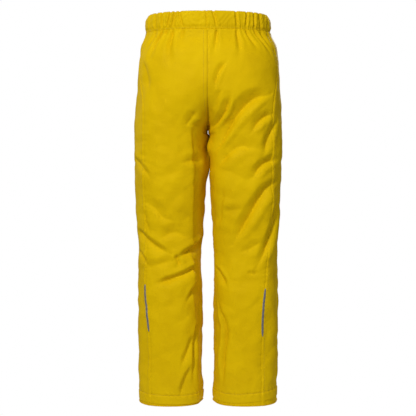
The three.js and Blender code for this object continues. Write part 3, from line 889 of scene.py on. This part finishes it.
def coatedCloth():
    # smooth coated shell cloth: a fine weave under the coating, faint crinkles, and a little soiling
    look = {
        "deep": (0.640, 0.405, 0.0010), "main": (0.735, 0.482, 0.0012), "light": (0.790, 0.530, 0.0016),
        "thread": 0.0008, "roughness": (0.56, 0.70), "specular": 0.035, "soil": (0.50, 0.35, 0.010, 1),
        "soiled": 0.16, "soiledHeight": 0.10,
    }
    cloth = Finish("yellowCoatedCloth")
    cloud = cloth.noise(16, 4)
    fleck = cloth.noise(700, 2)
    clean = cloth.ramp(cloth.both(cloud, 0.55, fleck), (0.30, look["deep"]), (0.50, look["main"]),
                       (0.72, look["light"]))
    place = cloth.add("ShaderNodeSeparateXYZ", Vector=cloth.uv)
    low = cloth.add("ShaderNodeMapRange", From_Min=cut["hem"] - look["soiledHeight"], From_Max=cut["hem"],
                    To_Max=look["soiled"], Value=place.outputs["Y"])
    soiled = cloth.math("MULTIPLY", low.outputs["Result"], cloth.noise(60, 5, 0.65))
    worn = cloth.nodes.new("ShaderNodeMix")
    worn.data_type = "RGBA"
    for name, value in (("Factor", soiled), ("A", clean), ("B", look["soil"])):
        cloth.set(worn.inputs[name], value)
    crossed = cloth.math("MULTIPLY", cloth.threads("X", look["thread"]), cloth.threads("Y", look["thread"]))
    normal = cloth.bump(crossed, 0.00005, 0.6)
    normal = cloth.bump(fleck, 0.00008, 0.6, normal)
    normal = cloth.bump(cloth.noise(120, 3, 0.55), 0.00045, 0.7, normal)
    cloth.shader.inputs["Specular IOR Level"].default_value = look["specular"]
    return cloth.finish(worn.outputs["Result"], normal, cloud, look["roughness"])


def knitLining():
    # the cloth's inner face: a dull knitted backing
    knit = Finish("knitLining")
    loops = knit.math("MULTIPLY", knit.threads("X", 0.0009, 1.5), knit.threads("Y", 0.0007, 1.0))
    grain = knit.noise(420, 3)
    colour = knit.ramp(knit.both(loops, 0.5, grain), (0.2, (0.34, 0.23, 0.012)), (0.7, (0.56, 0.40, 0.030)))
    knit.shader.inputs["Specular IOR Level"].default_value = 0.15
    return knit.finish(colour, knit.bump(loops, 0.00016, 0.8), grain, (0.82, 0.95))


def sealedTape():
    # heat-sealed film over a seam, with the cloth's weave showing through
    film = Finish("sealedTapeFilm")
    cloud = film.noise(90, 4)
    weave = film.math("MULTIPLY", film.threads("X", 0.0008), film.threads("Y", 0.0008))
    colour = film.ramp(cloud, (0.30, (0.42, 0.40, 0.30)), (0.68, (0.56, 0.55, 0.46)))
    normal = film.bump(cloud, 0.0003, 0.5, film.bump(weave, 0.00005, 0.5))
    return film.finish(colour, normal, cloud, (0.28, 0.46))


def ribbedElastic():
    # woven elastic: ribs that run along it and the weft that crosses them
    web = Finish("ribbedElastic")
    ribs = web.threads("Y", 0.0022, 0.2)
    weft = web.threads("X", 0.0009, 0.6)
    colour = web.ramp(web.math("MULTIPLY", ribs, weft), (0.0, (0.48, 0.46, 0.42)), (0.5, (0.78, 0.76, 0.71)))
    normal = web.bump(weft, 0.00012, 0.7, web.bump(ribs, 0.0004, 0.9))
    return web.finish(colour, normal, weft, (0.78, 0.92))


def yellowWebbing():
    # a narrow twill tape
    web = Finish("yellowWebbing")
    twill = web.threads("DIAGONAL", 0.0010, 0.3)
    grain = web.noise(900, 2)
    colour = web.ramp(twill, (0.1, (0.30, 0.19, 0.004)), (0.8, (0.50, 0.34, 0.006)))
    normal = web.bump(grain, 0.0001, 0.5, web.bump(twill, 0.00022, 0.9))
    return web.finish(colour, normal, grain, (0.70, 0.88))


def wovenLabel():
    # a blank satin label
    satin = Finish("wovenLabel")
    warp = satin.threads("X", 0.0004, 0.4)
    cloud = satin.noise(140, 3)
    colour = satin.ramp(satin.both(warp, 0.35, cloud), (0.25, (0.66, 0.64, 0.58)), (0.7, (0.86, 0.85, 0.80)))
    return satin.finish(colour, satin.bump(warp, 0.00006, 0.8), cloud, (0.40, 0.58))


def beadedReflector():
    # grey retroreflective trim: tiny glass beads in a grey film, rubbed paler in places
    film = Finish("beadedReflector")
    beads = film.add("ShaderNodeTexVoronoi", Scale=2600, Vector=film.uv)
    rubbed = film.noise(160, 4, 0.6)
    colour = film.ramp(rubbed, (0.30, (0.135, 0.135, 0.165)), (0.70, (0.215, 0.215, 0.240)))
    film.shader.inputs["Metallic"].default_value = 0.25
    return film.finish(colour, film.bump(beads.outputs["Distance"], 0.00006, 0.7), rubbed, (0.34, 0.52))


def twistedThread():
    yarn = Finish("twistedThread")
    twist = yarn.threads("DIAGONAL", 0.0005, 0.2)
    colour = yarn.ramp(twist, (0.1, (0.36, 0.22, 0.002)), (0.9, (0.56, 0.36, 0.003)))
    return yarn.finish(colour, yarn.bump(twist, 0.00008, 0.8), twist, (0.50, 0.70))


materials = {
    "shell": coatedCloth(), "lining": knitLining(), "tape": sealedTape(), "elastic": ribbedElastic(),
    "webbing": yellowWebbing(), "label": wovenLabel(), "reflector": beadedReflector(),
    "thread": twistedThread(),
}
print("materials ready:", len(materials))

view = {"distance": 2.2, "drop": 0.30, "aimDepth": 0.08, "aimDrop": 0.403, "lens": 89.2, "sensor": 36}
studio = {
    # place, height it aims at, size and power
    "key": ((0.85, 2.0, 0.95), -0.36, 0.4, 43),
    "backFill": ((-1.7, 1.8, 0.5), -0.35, 1.4, 12),
    "frontKey": ((-0.7, -2.2, 0.7), -0.4, 1.0, 46),
    "sideFill": ((2.2, -1.4, 0.5), -0.4, 1.4, 14),
}
surroundings = {"light": 0.17, "seen": 1.0}
floor = {"radius": 0.62, "drop": 0.21, "corners": 96}


def aim(holder, place, target):
    holder.location = place
    holder.rotation_euler = (Vector(target) - holder.location).to_track_quat("-Z", "Y").to_euler()


def addCamera():
    camera = bpy.data.cameras.new("camera")
    camera.lens = view["lens"]
    camera.sensor_width = view["sensor"]
    camera.clip_end = 20
    holder = newObject("camera", camera)
    aim(holder, (0, view["distance"], -view["drop"]), (0, view["aimDepth"], -view["aimDrop"]))
    bpy.context.scene.camera = holder


def addStudio():
    for name, (place, height, size, power) in studio.items():
        lamp = bpy.data.lights.new(name, "AREA")
        lamp.shape = "DISK"
        lamp.size = size
        lamp.energy = power
        aim(newObject(name, lamp), place, (0, 0, height))
    world = bpy.data.worlds.new("studio")
    bpy.context.scene.world = world
    world.use_nodes = True
    nodes, links = world.node_tree.nodes, world.node_tree.links
    background = nodes["Background"]
    background.inputs["Color"].default_value = (1, 1, 1, 1)
    path = nodes.new("ShaderNodeLightPath")
    strength = nodes.new("ShaderNodeMapRange")
    strength.inputs["To Min"].default_value = surroundings["light"]
    strength.inputs["To Max"].default_value = surroundings["seen"]
    links.new(path.outputs["Is Camera Ray"], strength.inputs["Value"])
    links.new(strength.outputs["Result"], background.inputs["Strength"])
    bpy.context.scene.view_settings.view_transform = "Standard"


def addFloor():
    ring = [(floor["radius"] * math.cos(a), floor["radius"] * math.sin(a), -cut["hem"] - floor["drop"])
            for a in np.linspace(0, 2 * math.pi, floor["corners"], endpoint=False)]
    mesh = bpy.data.meshes.new("floor")
    mesh.from_pydata(ring, [], [list(range(len(ring)))])
    disc = newObject("floor", mesh)
    material = bpy.data.materials.new("paleFloor")
    material.use_nodes = True
    shader = material.node_tree.nodes["Principled BSDF"]
    shader.inputs["Base Color"].default_value = (0.82, 0.82, 0.81, 1)
    shader.inputs["Roughness"].default_value = 0.8
    mesh.materials.append(material)


addCamera()
addStudio()
addFloor()
print("camera and studio ready")

thread = {
    "pitch": 0.0031, "gap": 0.24, "radius": 0.00026, "rise": 0.00016, "sink": 0.00016,
    "along": (-1, -0.72, -0.25, 0.25, 0.72, 1), "girth": (0.25, 0.85, 1, 1, 0.85, 0.25), "corners": 6,
}


def stitchPiece(name, path, normal, body=None):
    # a row of separate stitches lying along a line of the cloth
    at = measure(path)
    count = int(at[-1] / thread["pitch"])
    middle = (np.arange(count) + 0.5) * at[-1] / count
    half = 0.5 * (1 - thread["gap"]) * at[-1] / count
    share, girth, corners = np.array(thread["along"]), np.array(thread["girth"]), thread["corners"]
    where = middle[:, None] + half * share
    place = np.stack([np.interp(where, at, path[:, k]) for k in range(3)], -1)
    facing = unit(np.stack([np.interp(where, at, normal[:, k]) for k in range(3)], -1))
    beside = np.cross(unit(place[:, -1] - place[:, 0])[:, None, :], facing)
    lift = thread["rise"] - (thread["rise"] + thread["sink"]) * share ** 2
    place = place + facing * lift[None, :, None]
    around = np.arange(corners) * 2 * math.pi / corners
    out = facing[:, :, None, :] * np.sin(around)[:, None] + beside[:, :, None, :] * np.cos(around)[:, None]
    points = place[:, :, None, :] + out * (thread["radius"] * girth)[None, :, None, None]
    walls = (len(share) - 1) * corners
    one, uv = [], []
    for n in range(walls):
        r, k = divmod(n, corners)
        b = r * corners + (k + 1) % corners
        one.append([n, n + corners, b + corners, b])
        u, v = r * 0.0005, k * 0.0003
        uv += [(u, v), (u + 0.0005, v), (u + 0.0005, v + 0.0003), (u, v + 0.0003)]
    one += [list(range(corners)), list(range(walls, walls + corners))[::-1]]
    uv += [(0, 0)] * 2 * corners
    faces = [[first * (walls + corners) + n for n in face] for first in range(count) for face in one]
    a, b, c = (points.reshape(-1, 3)[[f[k] for f in faces[:walls]]] for k in range(3))
    centre = points[0].reshape(-1, 3).mean(0)
    if (np.einsum("ij,ij->i", a - centre, np.cross(b - a, c - a))).sum() < 0:
        faces = [f[::-1] for f in faces]
    piece = newPiece(name, points.reshape(-1, 3), faces, np.array(uv * count, float), materials["thread"])
    if body:
        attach(piece, body)
    return piece


tape = {
    "width": 0.018, "crotchWidth": 0.016, "thickness": 0.0004, "under": 0.00035, "crotchUnder": 0.0011,
    "crotchCurl": 4,
}
tapeAcross = np.linspace(-0.5, 0.5, 7)


def blendHip(piece, sideName):
    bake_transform(piece)


def blendKnee(piece, sideName):
    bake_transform(piece)


def makePanels(sideName, points, normal, uv):
    lastRow = len(rows) - 1           # the cloth turns under below it
    panels = (("front", "rise", slice(0, outseamColumn + 1)),
              ("back", "seat", slice(outseamColumn, len(turns))))
    parts = (("Upper", slice(0, splitRow + 1), grid["split"] - band["panelTop"]),
             ("Lower", slice(splitRow, lastRow), cut["hem"] - grid["split"]))
    for panel, top, columns in panels:
        node = sideName + "_" + panel + "_panel_"
        for part, span, length in parts:
            patch = points[span, columns]
            piece = sheetPiece(sideName + panel.capitalize() + part, patch, normal[span, columns],
                               uv[span, columns], cut["cloth"], sideName == "right", materials["shell"],
                               materials["lining"])
            if part == "Upper":
                blendHip(piece, sideName)
                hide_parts(node + top, node + "hip_crease", node + "thigh")
            else:
                blendKnee(piece, sideName)
                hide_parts(node + "knee_crease", node + "shin")


def makeSeamTapes(sideName, points, normal):
    # strips of film behind the outseam and the inseam, each in an upper and a lower length
    top, foot = rowFrom(cut["band"] + 0.001), rowFrom(cut["hem"] - hem["facing"] - 0.0005)
    below = rowFrom(cut["crotch"] + 0.012)
    tapes = (
        ("Outseam", "Upper", np.arange(top, splitRow + 1), outseamColumn, ("seat", "thigh")),
        ("Outseam", "Lower", np.arange(splitRow, foot), outseamColumn, ("shin",)),
        ("Inseam", "Upper", np.arange(below, splitRow + 1), 0, ("thigh",)),
        ("Inseam", "Lower", np.arange(splitRow, foot), 0, ("shin",)),
    )
    across = tapeAcross * tape["width"]
    for seam, part, levels, column, parts in tapes:
        places, facing = acrossRows(points, normal, levels, column, across, seam == "Inseam")
        outer = places - facing * (cut["cloth"] + tape["under"])
        drop = rows[levels]
        uv = np.stack(np.meshgrid(across, drop), -1)
        piece = sheetPiece(sideName + seam + "Tape" + part, outer, facing, uv, tape["thickness"],
                           sideName == "right", materials["tape"])
        (blendHip if part == "Upper" else blendKnee)(piece, sideName)
        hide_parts(*[sideName + "_" + seam.lower() + "_tape_" + name for name in parts])


def makeHem(sideName, points, normal):
    # the cloth's turned-up end, as a ring that rolls under the panels' lower edge
    roll = 0.5 * (2 * cut["cloth"] + 0.0002)
    arc = np.linspace(0, math.pi, 9)
    above = np.linspace(hem["fold"], hem["facing"], 14)[1:]
    heights = np.concatenate([hem["fold"] * (1 - np.sin(arc)), above])
    inset = np.concatenate([roll * (1 - np.cos(arc)), np.full(13, 2 * roll)])
    outward = np.concatenate([np.cos(arc), -np.ones(13)])
    down = np.concatenate([np.sin(arc), np.zeros(13)])
    skins = [[], []]
    for height, depth, out, fall in zip(heights, inset, outward, down):
        level = cut["hem"] - max(height, hem["fold"])
        place, facing = atDrop(points, level)[:-1], atDrop(normal, level)[:-1].copy()
        facing[:, 2] = 0
        facing = unit(facing)
        for skin, thick in zip(skins, (0, cut["cloth"])):
            ring = place - facing * (depth + thick * out)
            ring[:, 2] = -(cut["hem"] - height) + thick * fall
            skin.append(ring)
    ring = np.array(skins[0] + skins[1][::-1])
    piece, girth = ringPiece(sideName + "HemFacing", ring, materials["shell"], 0.5)
    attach(piece, sideName + "_shin")
    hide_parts(sideName + "_hem_facing")
    level = cut["hem"] - hem["stitch"]
    stitchPiece(sideName + "HemStitches", atDrop(points, level), atDrop(normal, level), sideName + "_shin")


def makePiping(sideName, points, normal):
    # a bar of reflective trim sewn into the outseam, rounded across and tapered at both ends
    start = piping["top"][sides[sideName]]
    end = start + piping["length"]
    levels = np.nonzero((rows > start) & (rows < end))[0]
    share = np.linspace(-1, 1, 11)
    places, facing = acrossRows(points, normal, levels, outseamColumn, share * piping["width"] / 2)
    fromEnd = np.minimum(rows[levels] - start, end - rows[levels])
    taper = np.sqrt(np.clip(fromEnd / piping["taper"], 0.02, 1))[:, None, None]
    middle = places[:, 5:6]
    places = middle + (places - middle) * taper
    crown = piping["height"] * np.sqrt(1 - 0.93 * share[None, :, None] ** 2) * (0.35 + 0.65 * taper)
    crown = crown * (1 + 0.10 * np.sin(rows[levels] * 2 * math.pi / 0.011))[:, None, None]
    uv = np.stack(np.meshgrid(share * piping["width"] / 2, rows[levels]), -1)
    piece = doublePiece(sideName + "ReflectivePiping", places + facing * (crown + 0.0002),
                        places - facing * 0.0002, uv, sideName == "right", materials["reflector"])
    piece.data.set_sharp_from_angle(angle=1.0)
    blendKnee(piece, sideName)
    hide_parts(sideName + "_reflective_piping")


def makeTopstitch(sideName, points, normal):
    # one row beside each outseam, in an upper and a lower length
    top, foot = rowFrom(cut["band"] + 0.002), rowFrom(cut["hem"] - hem["facing"])
    beside = np.array([-seams["topstitch"]])
    for part, levels in (("Upper", np.arange(top, splitRow + 1)), ("Lower", np.arange(splitRow, foot))):
        places, facing = acrossRows(points, normal, levels, outseamColumn, beside)
        piece = stitchPiece(sideName + "OutseamStitches" + part, places[:, 0], facing[:, 0])
        (blendHip if part == "Upper" else blendKnee)(piece, sideName)


def makeCentreStitches(points, normal):
    # two rows beside the centre seam, behind and in front, on the wearer's left
    levels = np.arange(rowFrom(cut["band"] + 0.002), rowFrom(cut["crotch"] - 0.028))
    for place, column, way in (("Back", len(turns) - 1, -1), ("Front", 0, 1)):
        for name, away in zip(("Near", "Far"), seams["backRows"]):
            places, facing = acrossRows(points, normal, levels, column, np.array([way * away]))
            stitchPiece("centre" + place + "Stitches" + name, places[:, 0], facing[:, 0], "seat")


def makeCrotchTape(points):
    # film behind the centre seam, down the back, under the crotch and up the front
    levels = np.arange(rowFrom(cut["band"] + 0.001), crotchRow + 1)
    line = np.concatenate([points[levels, -1], points[levels[:-1][::-1], 0]])
    line[:, 0] = 0
    for _ in range(6):
        line[1:-1] = 0.25 * line[:-2] + 0.5 * line[1:-1] + 0.25 * line[2:]
    along = np.gradient(line, axis=0)
    inward = unit(np.stack([0 * along[:, 0], along[:, 2], -along[:, 1]], -1))
    across = tapeAcross * tape["crotchWidth"]
    deep = cut["cloth"] + tape["crotchUnder"]
    outer = line[:, None, :] + inward[:, None, :] * deep + across[None, :, None] * np.array([1, 0, 0])
    outer = outer + inward[:, None, :] * (across[None, :, None] ** 2) * tape["crotchCurl"]
    normal = np.broadcast_to(-inward[:, None, :], outer.shape)
    length = measure(line)
    uv = np.stack(np.meshgrid(across, length), -1)
    piece = sheetPiece("crotchTape", outer, normal, uv, tape["thickness"], True, materials["tape"])
    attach(piece, "seat")
    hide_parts("crotch_seam_tape")


def bandAngles():
    # twice as fine as the panels' columns, and at the same places
    half = np.sort(np.concatenate([angles, 0.5 * (angles[1:] + angles[:-1])]))
    return np.concatenate([half, (math.pi - half[::-1])[1:-1]])


def ringPlace(angle, drop, out):
    # a place on the waist's ring, set out from the flat casing's face
    reach = outerReach(np.maximum(drop, 0))
    depth = np.where(np.sin(angle) > 0, backDepth(np.maximum(drop, 0)), frontDepth(np.maximum(drop, 0)))
    normal = unit(np.stack([np.cos(angle) / reach, np.sin(angle) / depth], -1))
    lean = np.abs(np.cos(angle)) ** 8 * np.clip(1 - drop / band["slumpDrop"], 0, 1) ** 2
    out = out - band["slump"] * lean
    x = reach * np.cos(angle) + normal[..., 0] * out
    y = depth * np.sin(angle) + normal[..., 1] * out
    return np.stack([x, y, -drop + 0 * x], -1)


def makeCasing():
    # a folded channel of cloth, from its outer foot over the top edge and down inside
    around = bandAngles()
    wall = np.linspace(band["foot"], band["roll"], 24)
    arc = np.linspace(0, math.pi, 11)[1:-1]
    back = np.linspace(band["roll"], cut["band"], 14)
    out = np.concatenate([0 * wall, -band["roll"] * (1 - np.cos(arc)), 0 * back - 2 * band["roll"]])[:, None]
    drop = np.concatenate([wall, band["roll"] * (1 - np.sin(arc)), back])[:, None]
    facing = np.concatenate([0 * wall + 1, np.cos(arc), 0 * back - 1])[:, None]
    rise = np.concatenate([0 * wall, np.sin(arc), 0 * back])[:, None]
    ruffle = ruffleHeight(around[None, :], np.maximum(drop, 0.006))
    crease = np.clip(band["puff"] - ruffle, 0, band["puff"]) / band["puff"]
    lift = ruffle * np.where(facing > 0, facing, 0.35 * facing)
    lift = lift * (0.72 + 0.28 * smoothstep(drop, 0.001, 0.009))
    cutIn = band["notch"] * crease * smoothstep(0.010 - drop, 0, 0.010)
    places = ringPlace(around[None, :], drop + cutIn, out + lift)
    channel = ringPlace(around[None, :], drop + cutIn + cut["cloth"] * rise,
                        out + lift - cut["cloth"] * facing)
    count = len(drop)
    piece, _ = ringPiece("waistbandCasing", np.concatenate([places, channel[::-1]]), materials["shell"], 0,
                         materials["lining"], (count, 2 * count - 1))
    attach(piece, "seat")
    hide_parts("waistband_casing")
    closed = np.concatenate([around, around[:1] + 2 * math.pi])
    at = np.full(len(closed), band["stitch"])
    out = ruffleHeight(closed, at)
    line = ringPlace(closed, at, out)
    stitchPiece("waistbandStitches", line, line - ringPlace(closed, at, out - 0.001), "seat")


def makeElastic():
    around = bandAngles()[::2]
    top, foot = band["elasticTop"], band["elasticFoot"]
    near, far = band["elasticInset"]
    levels = np.linspace(top, foot, 12)
    drop = np.concatenate([levels, levels[::-1]])[:, None]
    out = np.concatenate([np.full(12, near), np.full(12, far)])[:, None]
    edge = bump(drop - top, 0.0008) + bump(drop - foot, 0.0008)
    out = mix(out, 0.5 * (near + far), 0.45 * edge)
    wavy = 0.00012 * np.sin(around[None, :] * 46) * np.ones_like(drop)
    grid3 = ringPlace(around[None, :], drop + 0 * around[None, :], out + wavy)
    piece, _ = ringPiece("waistElastic", grid3, materials["elastic"])
    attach(piece, "seat")
    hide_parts("waist_elastic")


def bandPiece(name, across, drop, inset, uv, thickness, material):
    # a flat piece behind the waistband, by its distance across from the centre back
    deep = 2 * band["roll"] + 0.0012
    outer = ringPlace(math.pi / 2 - across / (outerReach(drop) - deep), drop, -deep - inset)
    normal = normalsOf(outer, len(outer))
    towards = 1 if (normal[..., 1].mean() > 0) else -1
    normal = normal * towards
    piece = sheetPiece(name, outer, normal, uv, thickness, towards < 0, material)
    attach(piece, "seat")
    return piece, outer, normal


def makeLoop():
    # a half hoop of webbing whose ends are sewn in at the waistband's foot
    loop = {"span": 0.026, "rise": 0.020, "width": 0.008, "thickness": 0.0009, "steps": 48, "foot": 0.0345}
    turn, side = np.meshgrid(np.linspace(0, math.pi, loop["steps"]), np.linspace(-0.5, 0.5, 7), indexing="ij")
    grow = side * loop["width"]
    across = (loop["span"] + grow) * np.cos(turn)
    drop = loop["foot"] - (loop["rise"] + grow) * np.sin(turn)
    inset = 0.0004 + 0.0030 * np.sin(turn) ** 2 + 0.0002 * (2 * side) ** 2
    uv = np.stack([grow, turn * loop["span"]], -1)
    piece, outer, normal = bandPiece("hangerLoop", across, drop, inset, uv, loop["thickness"],
                                     materials["webbing"])
    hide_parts("hanger_loop")
    for name, end in (("Left", 0), ("Right", -1)):
        line = outer[end, 1:6] + np.array([0, 0, 0.0022])
        line = line - normal[end, 1:6] * (loop["thickness"] + 0.0001)
        stitchPiece("loopBartack" + name, line, -normal[end, 1:6], "seat")


def makeLabel():
    # a blank label that hangs from the waistband's foot between the loop's ends
    label = {"width": 0.026, "height": 0.024, "thickness": 0.0005, "top": 0.0352, "curl": 0.0030}
    down, side = np.meshgrid(np.linspace(0, 1, 16), np.linspace(-0.5, 0.5, 14), indexing="ij")
    across = side * label["width"] * (1 - 0.02 * down)
    drop = label["top"] + down * label["height"]
    inset = 0.0006 + label["curl"] * down ** 2 + 0.0008 * np.sin(side * 5 + 0.6) * down
    uv = np.stack([across, drop], -1)
    piece, outer, normal = bandPiece("sizeLabel", across, drop, inset, uv, label["thickness"],
                                     materials["label"])
    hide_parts("size_label")
    line = outer[1, 1:-1] - normal[1, 1:-1] * (label["thickness"] + 0.0001)
    stitchPiece("labelStitches", line, -normal[1, 1:-1], "seat")


for sideName, side in sides.items():
    points, normal, uv = clothSide(side)
    makePanels(sideName, points, normal, uv)
    makeSeamTapes(sideName, points, normal)
    makeHem(sideName, points, normal)
    makePiping(sideName, points, normal)
    makeTopstitch(sideName, points, normal)
    if side > 0:
        makeCentreStitches(points, normal)
        makeCrotchTape(points)
    print(sideName, "half made,", len(turns), "by", len(rows), "points")
makeCasing()
makeElastic()
makeLoop()
makeLabel()
print("waistband made")
